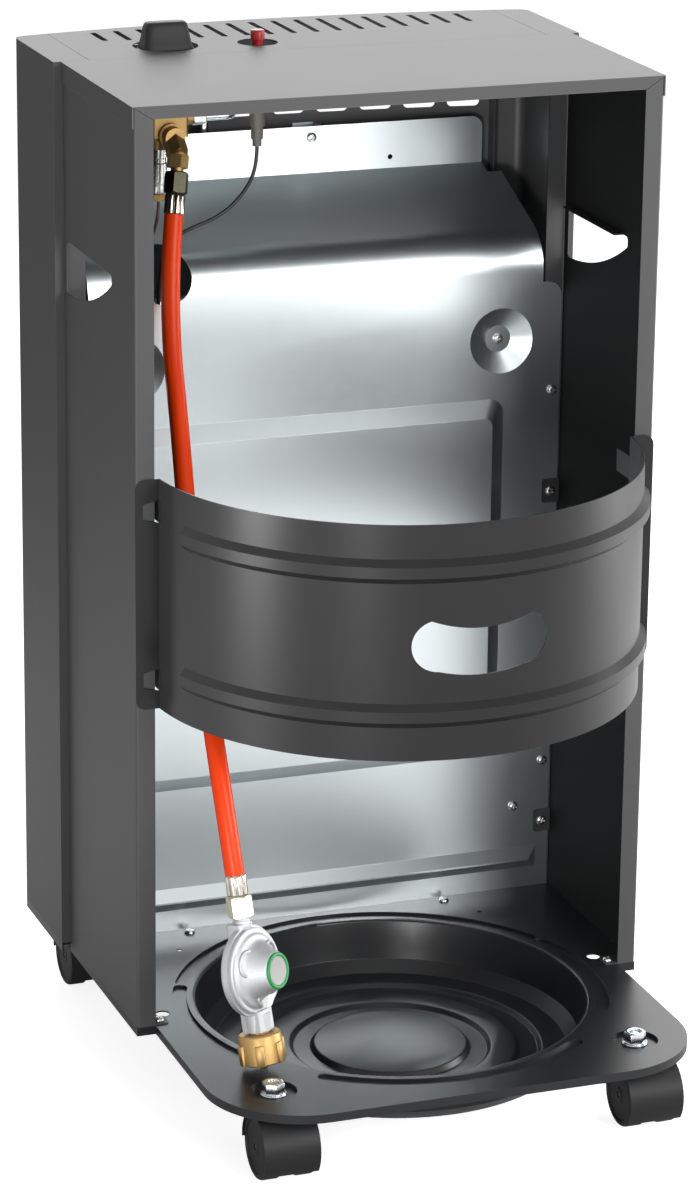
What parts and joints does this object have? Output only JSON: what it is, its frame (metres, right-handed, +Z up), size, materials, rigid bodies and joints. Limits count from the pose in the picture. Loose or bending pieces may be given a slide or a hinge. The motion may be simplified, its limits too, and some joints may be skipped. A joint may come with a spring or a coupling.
{
  "type": "portable gas cabinet heater",
  "caption": "Sheet steel cabinet heater with an open back, a pressed bottle tray on castors, a curved bottle belt, a hose with regulator, a knob and an igniter button.",
  "frame": {"origin": "centre of the bounding box's footprint, on the floor", "axes": "+Z up, +Y towards the open back where the bottle goes in, +X to the side with the knob and the hose"},
  "size_m": [0.432, 0.507, 0.799],
  "materials": {
    "coated_sheet": "satin powder coat, anthracite",
    "black_pan": "satin black enamel",
    "galvanised": "bright galvanised sheet",
    "zinc_steel": "zinc plated",
    "dark_steel": "heat darkened",
    "brass": "turned",
    "cast_metal": "die-cast, fine blast",
    "aluminium": "drawn, bright",
    "hose_rubber": "satin, orange-red",
    "black_lead": "satin",
    "brown_lead": "satin",
    "black_plastic": "fine texture",
    "red_plastic": "gloss",
    "grey_plastic": "matt",
    "green_plastic": "gloss",
    "ceramic": "glazed ceramic"
  },
  "bodies": {
    "cabinet": {"base_pan": "black_pan", "bottom_ferrule": "zinc_steel", "bottom_nut": "zinc_steel", "burner": "dark_steel", "burner_arms": "galvanised", "burner_guard": "dark_steel", "burner_pipe": "aluminium", "castor_nuts": "zinc_steel", "castor_stems": "zinc_steel", "castor_washers": "zinc_steel", "front_panel": "coated_sheet", "front_shell_left": "coated_sheet", "front_shell_right": "coated_sheet", "front_top_panel": "coated_sheet", "gas_valve": "brass", "heat_shield": "galvanised", "hose": "hose_rubber", "igniter_body": "grey_plastic", "igniter_lead": "black_lead", "igniter_nut": "grey_plastic", "inlet_elbow": "brass", "magnet_unit": "zinc_steel", "outlet_spigot": "brass", "pan_screws": "zinc_steel", "pilot_bracket": "galvanised", "pipe_nut": "zinc_steel", "rear_top_panel": "coated_sheet", "regulator_body": "cast_metal", "regulator_bonnet": "cast_metal", "regulator_cap": "grey_plastic", "regulator_ring": "green_plastic", "sensor_lead": "brown_lead", "sensor_nut": "brass", "shield_screws": "zinc_steel", "side_panel_left": "coated_sheet", "side_panel_right": "coated_sheet", "spark_electrode": "ceramic", "strip_bracket": "galvanised", "thermocouple": "brass", "top_ferrule": "zinc_steel", "top_nut": "zinc_steel", "valve_bracket": "galvanised"},
    "knob_plunger": {"valve_plunger": "zinc_steel"},
    "knob": {"control_knob": "black_plastic", "knob_stem": "zinc_steel"},
    "igniter_button": {"igniter_button": "red_plastic"},
    "bottle_belt": {"bottle_belt": "coated_sheet"},
    "bottle_nut": {"bottle_nut": "brass"},
    "castor_rear_left": {"castor_hood_rear_left": "black_plastic"},
    "wheels_rear_left": {"castor_wheels_rear_left": "black_plastic", "castor_axle_rear_left": "zinc_steel"},
    "castor_rear_right": {"castor_hood_rear_right": "black_plastic"},
    "wheels_rear_right": {"castor_wheels_rear_right": "black_plastic", "castor_axle_rear_right": "zinc_steel"},
    "castor_front_left": {"castor_hood_front_left": "black_plastic"},
    "wheels_front_left": {"castor_wheels_front_left": "black_plastic", "castor_axle_front_left": "zinc_steel"},
    "castor_front_right": {"castor_hood_front_right": "black_plastic"},
    "wheels_front_right": {"castor_wheels_front_right": "black_plastic", "castor_axle_front_right": "zinc_steel"}
  },
  "joints": [
    {"name": "knob_push", "type": "slide", "parent": "cabinet", "child": "knob_plunger", "axis": [0, 0, -1], "range_m": [0, 0.003], "stiffness_N_per_m": 1500, "springref_m": -0.003},
    {"name": "knob_turn", "type": "hinge", "parent": "knob_plunger", "child": "knob", "pos_m": [0.114, -0.164, 0.78], "axis": [0, 0, 1], "range_deg": [0, 210]},
    {"name": "button_push", "type": "slide", "parent": "cabinet", "child": "igniter_button", "axis": [0, 0, -1], "range_m": [0, 0.005], "stiffness_N_per_m": 1200, "springref_m": -0.003},
    {"name": "belt_pull_off", "type": "slide", "parent": "cabinet", "child": "bottle_belt", "axis": [0, 1, 0], "range_m": [0, 0.15]},
    {"name": "bottle_nut_turn", "type": "hinge", "parent": "cabinet", "child": "bottle_nut", "pos_m": [0.14288, 0.16387, 0.07126], "axis": [0.0884, -0.2145, 0.9727], "continuous": true},
    {"name": "swivel_rear_left", "type": "hinge", "parent": "cabinet", "child": "castor_rear_left", "pos_m": [0.147, 0.2005, 0.05], "axis": [0, 0, 1], "continuous": true},
    {"name": "roll_rear_left", "type": "hinge", "parent": "castor_rear_left", "child": "wheels_rear_left", "pos_m": [0.147, 0.2195, 0.025], "axis": [1, 0, 0], "continuous": true},
    {"name": "swivel_rear_right", "type": "hinge", "parent": "cabinet", "child": "castor_rear_right", "pos_m": [-0.147, 0.2005, 0.05], "axis": [0, 0, 1], "continuous": true},
    {"name": "roll_rear_right", "type": "hinge", "parent": "castor_rear_right", "child": "wheels_rear_right", "pos_m": [-0.147, 0.2195, 0.025], "axis": [1, 0, 0], "continuous": true},
    {"name": "swivel_front_left", "type": "hinge", "parent": "cabinet", "child": "castor_front_left", "pos_m": [0.177, -0.1995, 0.05], "axis": [0, 0, 1], "continuous": true},
    {"name": "roll_front_left", "type": "hinge", "parent": "castor_front_left", "child": "wheels_front_left", "pos_m": [0.177, -0.1805, 0.025], "axis": [1, 0, 0], "continuous": true},
    {"name": "swivel_front_right", "type": "hinge", "parent": "cabinet", "child": "castor_front_right", "pos_m": [-0.177, -0.1995, 0.05], "axis": [0, 0, 1], "continuous": true},
    {"name": "roll_front_right", "type": "hinge", "parent": "castor_front_right", "child": "wheels_front_right", "pos_m": [-0.177, -0.1805, 0.025], "axis": [1, 0, 0], "continuous": true}
  ]
}
